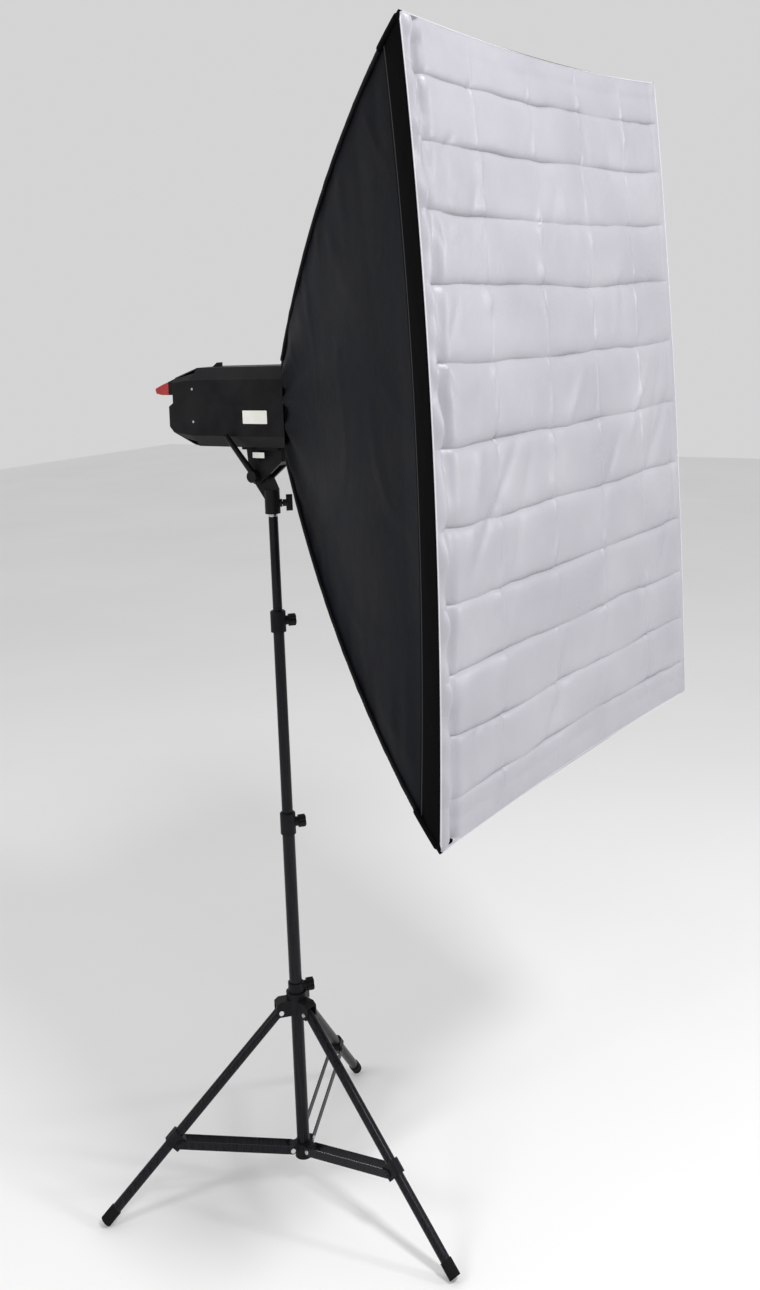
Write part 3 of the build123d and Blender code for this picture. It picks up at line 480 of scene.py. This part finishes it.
def panel_wrinkles(side, u, t):
    """Puckers along the rods, radial folds at the rear and broad slack in the cloth."""
    seed = WRINKLE_SEED[side]
    along = (2 * u - 1) * lerp(REAR_HALF, 0.6, t)
    to_rod = min(u, 1 - u) * 2
    free = min(1.0, to_rod * 9) * min(1.0, (LIP_START - t) * 14) if t < LIP_START else 0.0
    pucker = math.exp(-to_rod * 8) * wobble(t * 17, seed, 6 * u)
    radial = math.exp(-t * 4) * math.sin(2 * math.pi * (4 * u + 0.4 * wobble(u * 3, seed)))
    broad = wobble(t * 1.7 + 0.6 * u, u * 1.5 + seed, seed)
    fold = 1 - abs(wobble(along * 3.4 + t * 3.1, t * 2.2 - along * 1.8, seed))
    sharp = max(0.0, fold - 0.88) / 0.12
    return free * (ROD_PUCKER * pucker + REAR_FOLD * radial + PANEL_SLACK * broad + SHARP_FOLD * sharp)


# Diffuser --------------------------------------------------------------------------------
def crease_depths():
    """Depths of the storage creases below the top edge, a little closer at both ends."""
    depths = []
    for k in range(CREASE_ROWS):
        s = k / (CREASE_ROWS - 1)
        drift = CREASE_DRIFT[0] * math.sin(math.pi * s) - CREASE_DRIFT[1] * math.sin(2 * math.pi * s)
        depths.append(FIRST_CREASE + CREASE_SPAN * s + drift)
    return depths


CROSSING_FOLDS = ((-0.035, 0.035), (0.02, 0.045), (0.005, 0.009), (-0.0028, 0.0036))
LOOSE_FOLDS = (  # a count, then the ranges of x, depth, angle, length, width and height
    (15, (0.05, 0.85), (0.45, 1.15), (0.75, 1.35), (0.05, 0.14), (0.009, 0.018), (-0.0062, 0.0052)),
    (26, (0.02, 0.11), (0.1, 1.15), (0.4, 2.2), (0.015, 0.04), (0.004, 0.008), (-0.0045, 0.0035)),
    (12, (0.05, 0.85), (0.1, 0.5), (1.2, 2.0), (0.03, 0.08), (0.008, 0.013), (-0.0038, 0.0032)),
)


def scattered_folds(seed=7):
    """Short straight ridges and valleys: small upright ones round the crossings, then loose ones."""
    draw = random.Random(seed)
    folds = []
    for crease in crease_depths():
        for column in range(1, 5):
            x = column * COLUMN_PITCH + draw.uniform(-0.012, 0.012)
            for _ in range(3):
                angle = math.pi / 2 + draw.uniform(-0.5, 0.5)
                shift, length, width, height = [draw.uniform(*limits) for limits in CROSSING_FOLDS]
                folds.append((x, crease + shift, angle, length, width, height))
    for count, *ranges in LOOSE_FOLDS:
        folds += [tuple(draw.uniform(*limits) for limits in ranges) for _ in range(count)]
    return folds


FOLDS = scattered_folds()
CREASES = [0.0] + crease_depths() + [2 * HALF_H]
COLUMNS = [0.0] + [k * COLUMN_PITCH for k in range(1, 5)] + [2 * HALF_W]


def between(marks, value):
    """The interval of marks that value lies in: its number, its low end and its high end."""
    k = max(k for k in range(len(marks) - 1) if marks[k] <= value + 1e-9)
    return k, marks[k], marks[k + 1]


def crowded(marks, finest, coarsest):
    """Positions from the first mark to the last, crowded together at every mark."""
    positions = []
    for low, high in zip(marks, marks[1:]):
        steps, reach, step = [], 0.0, finest
        while reach < (high - low) / 2:
            steps.append(step)
            reach += step
            step = min(coarsest, step * 1.45)
        scale = (high - low) / 2 / reach
        ahead = [low]
        for step in steps:
            ahead.append(ahead[-1] + step * scale)
        positions += ahead + [low + high - place for place in reversed(ahead[1:-1])]
    return positions + [marks[-1]]


def strip_relief(x, depth):
    """Pillows and grooves of the storage creases, at x and depth from the face's top left corner."""
    row, low, high = between(CREASES, depth)
    s = (depth - low) / (high - low)
    size = min(1.0, (high - low) / 0.1)
    relief = STRIP_PILLOW * size * (1 - abs(2 * s - 1) ** 5) * (1 + 0.7 * wobble(x * 4, row * 5.1, 2.0))
    away = min(depth - low if row else 1.0, high - depth if high < CREASES[-1] else 1.0)
    nearest = low if depth - low < high - depth else high
    strength = max(0.12, 0.8 + 1.5 * wobble(x * 10, nearest * 31, 4.0))
    relief -= GROOVE[0] * math.exp(-away / GROOVE[1]) * strength
    column, left, right = between(COLUMNS, x)
    away = min(x - left if column else 1.0, right - x if right < COLUMNS[-1] else 1.0)
    nearest = left if x - left < right - x else right
    strength = wobble(depth * 7, nearest * 23, 9.0) + 0.9 * wobble(depth * 23, nearest * 11, 1.0)
    strength *= 0.5 + math.exp(-min(s, 1 - s) / 0.22)
    return relief + COLUMN_GROOVE[0] * strength * math.exp(-away / COLUMN_GROOVE[1])


def fold_relief(x, depth):
    """Height of the scattered folds at a place on the face."""
    total = 0.0
    for fx, fdepth, angle, length, width, height in FOLDS:
        dx, dz = x - fx, fdepth - depth
        if abs(dx) > FOLD_REACH or abs(dz) > FOLD_REACH:
            continue
        along = dx * math.cos(angle) + dz * math.sin(angle)
        across = -dx * math.sin(angle) + dz * math.cos(angle)
        if abs(along) < length and abs(across) < 3 * width:
            total += height * (1 - (along / length) ** 2) * math.exp(-abs(across / width) ** 1.3)
    return total


def hem_relief(x, depth):
    """The roll along the edges, and the puckers that the hem's thread draws into the cloth."""
    total = 0.0
    edges = (
        (x, depth, 1.0),
        (2 * HALF_W - x, depth, 0.12),
        (depth, x, 0.1),
        (2 * HALF_H - depth, x, 0.15),
    )
    for number, (away, along, strength) in enumerate(edges):
        if away > HEM_REACH:
            continue
        size = 1 + 1.6 * wobble(along * 6, number * 5.0)
        roll = HEM_ROLL[0] * math.exp(-(((away - HEM_ROLL[1]) / HEM_ROLL[2]) ** 2))
        groove = -HEM_GROOVE[0] * size * math.exp(-(((away - HEM_GROOVE[1]) / HEM_GROOVE[2]) ** 2))
        gather = wobble(along * 21, away * 9, 3.0 + number) * math.exp(-away / HEM_GATHER[1])
        total += strength * (roll + groove + HEM_GATHER[0] * gather * min(1.0, away / 0.01))
    return total


def face_point(u, v):
    """A point of the diffuser, u from its left edge and v from its bottom edge, as shares."""
    left = -HALF_W + EDGE_PULL_SIDE * hump(v)
    right = HALF_W - EDGE_PULL_SIDE * hump(v)
    low = -HALF_H + EDGE_PULL_BOTTOM * hump(u)
    high = HALF_H - EDGE_PULL_TOP * hump(u)
    x, z = lerp(left, right, u), lerp(low, high, v)
    x_in, z_in = abs(x) - (HALF_W - CORNER_R), abs(z) - (HALF_H - CORNER_R)
    reach = math.hypot(x_in, z_in)
    if x_in > 0 and z_in > 0 and reach > CORNER_R:
        x = math.copysign(HALF_W - CORNER_R + x_in / reach * CORNER_R, x)
        z = math.copysign(HALF_H - CORNER_R + z_in / reach * CORNER_R, z)
    from_left, depth = u * 2 * HALF_W, (1 - v) * 2 * HALF_H
    border = min(u * HALF_W * 2, (1 - u) * HALF_W * 2, v * HALF_H * 2, (1 - v) * HALF_H * 2)
    free = smooth_step(border / FREE_BORDER)
    x += free * 0.0035 * wobble(from_left * 6, depth * 4, 6.0)
    slow = 0.0050 * wobble(from_left * 5, depth * 9, 8.0)
    quick = 0.0020 * wobble(from_left * 19, depth * 9, 2.0)
    z += free * (slow + quick)
    out = FACE_BULGE * hump(v) + 0.003 * hump(u) * hump(v)
    out += free * (strip_relief(from_left, depth) + fold_relief(from_left, depth))
    out += smooth_step(border / 0.004) * hem_relief(from_left, depth)
    return Vector((x, FRONT_Y - FACE_GAP - out, AXIS_Z + z))


def front_outline(steps):
    """The face's outline as a closed list of points, with its rounded corners."""
    points = []
    for k in range(steps):
        points.append(face_point(k / steps, 0.0))
    for k in range(steps):
        points.append(face_point(1.0, k / steps))
    for k in range(steps):
        points.append(face_point(1 - k / steps, 1.0))
    for k in range(steps):
        points.append(face_point(0.0, 1 - k / steps))
    return points


def make_diffuser():
    """The front diffuser, on a mesh that is finer at its creases, and its piping."""
    edges = [0.0, 0.02, 0.055, *COLUMNS[1:-1], 2 * HALF_W - 0.03, 2 * HALF_W]
    columns = [place / (2 * HALF_W) for place in crowded(edges, 0.0016, 0.008)]
    depths = [0.0, 0.03, *CREASES[1:-1], 2 * HALF_H - 0.03, 2 * HALF_H]
    rows = [1 - place / (2 * HALF_H) for place in reversed(crowded(depths, 0.0014, 0.009))]
    face = grid("diffuser_cloth", columns, rows, face_point, (2 * HALF_W, 2 * HALF_H))
    thicken(face, CLOTH)
    finish_piece(face, "white_nylon", "softbox")
    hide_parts("front_diffuser")
    piping = tube("diffuser_piping", front_outline(90), 0.0011, 6, closed=True)
    finish_piece(piping, "piping", "softbox")


# Shell -----------------------------------------------------------------------------------
def make_shell_panel(side):
    columns, rows = (150, 84) if side in ("left", "right") else (120, 84)
    width, length = panel_width(side, LIP_START), panel_length(side, LIP_START)

    def place(u, v):
        return shell_point(side, u, v * LIP_START)

    panel = grid(f"shell_cloth_{side}", columns, rows, place, (width, length))
    thicken(panel, CLOTH)
    finish_piece(panel, "black_nylon", "softbox")
    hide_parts(f"shell_{side}")
    area = (panel_width(side, 0) + width) / 2 * length


def lip_point(side, u, v):
    """The black band in front of the seam, slightly bellied, in the panel's own surface."""
    belly = 0.0014 * math.sin(math.pi * v) * (1 + wobble(u * 30, v * 2, 4.0))
    point = shell_point(side, u, lerp(LIP_START, 1.0, v))
    return point + OUTWARD[side] * (belly + 0.0008)


def make_lip(side):
    width = panel_width(side, 1)
    depth = panel_length(side, 1) - panel_length(side, LIP_START)
    band = grid(f"lip_{side}", 130, 8, lambda u, v: lip_point(side, u, v), (width, depth))
    thicken(band, 0.0012)
    finish_piece(band, "lip", "softbox")
    seam = tube(f"lip_seam_{side}", [lip_point(side, k / 120, 0.03) for k in range(121)], 0.0014, 6)
    finish_piece(seam, "thread", "softbox")


def make_sleeves():
    """The rod sleeves along the shell's four ribs, their stitching and the front corner pockets."""
    steps = 96
    for sx in (-1, 1):
        for sz in (-1, 1):
            name = ("left" if sx < 0 else "right") + ("_top" if sz > 0 else "_bottom")
            outward = Vector((sx, 0, sz)).normalized()
            path, stitches, pocket = [], [], []
            for k in range(steps + 1):
                t = lerp(0.02, 0.98, k / steps)
                path.append(rib(sx, sz, t) - outward * (0.001 - 0.0012 * wobble(t * 34, sx * 3 + sz * 7)))
            sleeve = tube(f"rod_sleeve_{name}", path, SLEEVE_R, 10, flatten=0.5, flat_axis=outward)
            finish_piece(sleeve, "sleeve", "softbox")
            for k in range(2 * steps + 1):
                t = lerp(0.03, 0.92, k / (2 * steps))
                sideways = Vector((-sx * 0.7, 0, sz * 0.7)) * (STITCH_SWING if k % 2 else -STITCH_SWING)
                stitches.append(rib(sx, sz, t) + outward * STITCH_OUT + sideways)
            zigzag = tube(f"sleeve_stitch_{name}", stitches, 0.0005, 4)
            finish_piece(zigzag, "thread", "softbox")
            for k in range(11):
                pocket.append(rib(sx, sz, lerp(0.9, 0.985, k / 10)) - outward * (0.0005 + 0.0002 * k))
            cap = tube(f"corner_pocket_{name}", pocket, POCKET_R, 12, flatten=0.5, flat_axis=outward)
            finish_piece(cap, "lip", "softbox")


def make_rear_cuff():
    """The elastic cuff that closes the shell on the speedring."""
    def place(u, v):
        a = 2 * math.pi * u
        c, s = math.cos(a), math.sin(a)
        square = REAR_HALF / max(abs(c), abs(s))
        corner = min(square, REAR_HALF * 1.36)
        ring = 0.0795
        gather = 0.0012 * math.sin(a * 34) * math.sin(math.pi * v)
        r = lerp(corner, ring, smooth_step(v)) + gather
        y = lerp(REAR_Y - 0.001, REAR_Y - 0.012, v) + 0.006 * math.sin(math.pi * v)
        return Vector((r * c, y, AXIS_Z + r * s))

    cuff = grid("rear_cuff", 240, 10, place, (0.6, 0.02), closed=True)
    thicken(cuff, 0.0012)
    finish_piece(cuff, "lip", "softbox")


def make_baffle():
    """The inner baffle, drawn in between the straps that hold its corners to the ribs."""
    half_x, half_z = BAFFLE_HIGH.x, (BAFFLE_HIGH.z - BAFFLE_LOW.z) / 2
    middle_y = (BAFFLE_LOW.y + BAFFLE_HIGH.y) / 2

    def place(u, v):
        x = lerp(-half_x + BAFFLE_PULL * hump(v), half_x - BAFFLE_PULL * hump(v), u)
        z = lerp(-half_z + BAFFLE_PULL * hump(u), half_z - BAFFLE_PULL * hump(u), v)
        y = middle_y + 0.004 * hump(u) * hump(v) + 0.002 * wobble(u * 6, v * 7)
        return Vector((x, y, AXIS_Z + z))

    baffle = grid("baffle_cloth", 60, 76, place, (2 * half_x, 2 * half_z))
    thicken(baffle, CLOTH)
    finish_piece(baffle, "white_nylon", "softbox")
    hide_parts("inner_baffle")
    for sx in (-1, 1):
        for sz in (-1, 1):
            corner = Vector((sx * (half_x - 0.002), middle_y, AXIS_Z + sz * (half_z - 0.002)))
            held = rib(sx, sz, (middle_y - REAR_Y) / (FRONT_Y - REAR_Y)).lerp(corner, 0.25)
            name = ("left" if sx < 0 else "right") + ("_top" if sz > 0 else "_bottom")
            path = [corner.lerp(held, k / 6) for k in range(7)]
            strap = tube(f"baffle_strap_{name}", path, STRAP_R, 8, flatten=0.25)
            finish_piece(strap, "sleeve", "softbox")


# Flash head details ----------------------------------------------------------------------
def plate(name, centre, size, thickness, material, body):
    """A thin plate with rounded corners, on the head's left side."""
    outline = []
    radius = LABEL_CORNER_R
    for cx, cz, start in ((1, 1, 0), (-1, 1, 90), (-1, -1, 180), (1, -1, 270)):
        for k in range(5):
            a = math.radians(start + 22.5 * k)
            y = cx * (size[0] / 2 - radius) + radius * math.cos(a)
            z = cz * (size[1] / 2 - radius) + radius * math.sin(a)
            outline.append((y, z))
    made = bmesh.new()
    near = [made.verts.new(centre + Vector((-thickness, y, z))) for y, z in outline]
    far = [made.verts.new(centre + Vector((0, y, z))) for y, z in outline]
    made.faces.new(near)
    made.faces.new(list(reversed(far)))
    for k in range(len(outline)):
        n = (k + 1) % len(outline)
        made.faces.new((near[n], near[k], far[k], far[n]))
    bmesh.ops.recalc_face_normals(made, faces=made.faces)
    mesh = bpy.data.meshes.new(name)
    made.to_mesh(mesh)
    made.free()
    piece = new_object(name, mesh)
    piece.data.materials.append(MATERIALS[material])
    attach(piece, body)
    return piece


def make_head_details():
    """Two blank labels, one on the housing and one on the bracket."""
    places = (
        ("blank_label", Vector((HEAD_SIDE_X, -0.020, AXIS_Z - 0.018)), (0.062, 0.026)),
        ("bracket_label", Vector((BRACKET_SIDE_X, 0.004, 1.4555)), (0.03, 0.011)),
    )
    for name, centre, size in places:
        plate(name, centre, size, LABEL_THICKNESS, "label", "head")


# Stage, light and camera -----------------------------------------------------------------
def make_stage():
    """A wide pale floor under an even white sky."""
    mesh = bpy.data.meshes.new("floor")
    corners = [(x * FLOOR_REACH, y * FLOOR_REACH, FLOOR_Z) for x, y in ((-1, -1), (1, -1), (1, 1), (-1, 1))]
    mesh.from_pydata(corners, [], [(0, 1, 2, 3)])
    floor = new_object("floor", mesh)
    material, tree, shader = new_material("floor_paper", (0.86, 0.86, 0.86), 0.8)
    mottled_color(tree, shader, object_coordinates(tree), (0.87, 0.87, 0.87), (0.84, 0.84, 0.84), 0.8)
    mesh.materials.append(material)
    world = bpy.data.worlds.new("studio")
    world.use_nodes = True
    world.node_tree.nodes["Background"].inputs["Color"].default_value = (1.0, 1.0, 1.0, 1)
    world.node_tree.nodes["Background"].inputs["Strength"].default_value = WORLD_STRENGTH
    bpy.context.scene.world = world


def area_light(name, place, target, size, power):
    data = bpy.data.lights.new(name, "AREA")
    data.shape = "RECTANGLE"
    data.size, data.size_y = size
    data.energy = power
    lamp = bpy.data.objects.new(name, data)
    bpy.context.scene.collection.objects.link(lamp)
    lamp.location = place
    lamp.rotation_euler = (Vector(target) - Vector(place)).to_track_quat("-Z", "Y").to_euler()


def make_lights():
    for light in LIGHTS:
        area_light(*light)


def make_camera():
    """The camera stands to the left of the softbox's front, a little above the flash head."""
    azimuth, down, roll = [math.radians(angle) for angle in CAMERA_TURN]
    level = math.cos(down)
    ahead = Vector((-math.sin(azimuth) * level, math.cos(azimuth) * level, -math.sin(down)))
    right = Vector((math.cos(azimuth), math.sin(azimuth), 0))
    up = right.cross(ahead)
    rolled_right = math.cos(roll) * right + math.sin(roll) * up
    rolled_up = -math.sin(roll) * right + math.cos(roll) * up
    data = bpy.data.cameras.new("camera")
    data.sensor_fit = "AUTO"
    data.sensor_width = CAMERA_SENSOR
    data.lens = CAMERA_LENS
    data.shift_x, data.shift_y = CAMERA_SHIFT
    camera = bpy.data.objects.new("camera", data)
    bpy.context.scene.collection.objects.link(camera)
    rotation = camera.matrix_world.to_3x3()
    for row in range(3):
        rotation[row] = (rolled_right[row], rolled_up[row], -ahead[row])
    camera.matrix_world = rotation.to_4x4()
    camera.location = CAMERA_PLACE
    bpy.context.scene.camera = camera


# The whole model -------------------------------------------------------------------------
dress_frame()
make_camera()
make_diffuser()
for shell_side in ("left", "right", "top", "bottom"):
    make_shell_panel(shell_side)
    make_lip(shell_side)
make_sleeves()
make_rear_cuff()
make_baffle()
make_head_details()
make_stage()
make_lights()
bpy.context.scene.view_settings.view_transform = "Standard"
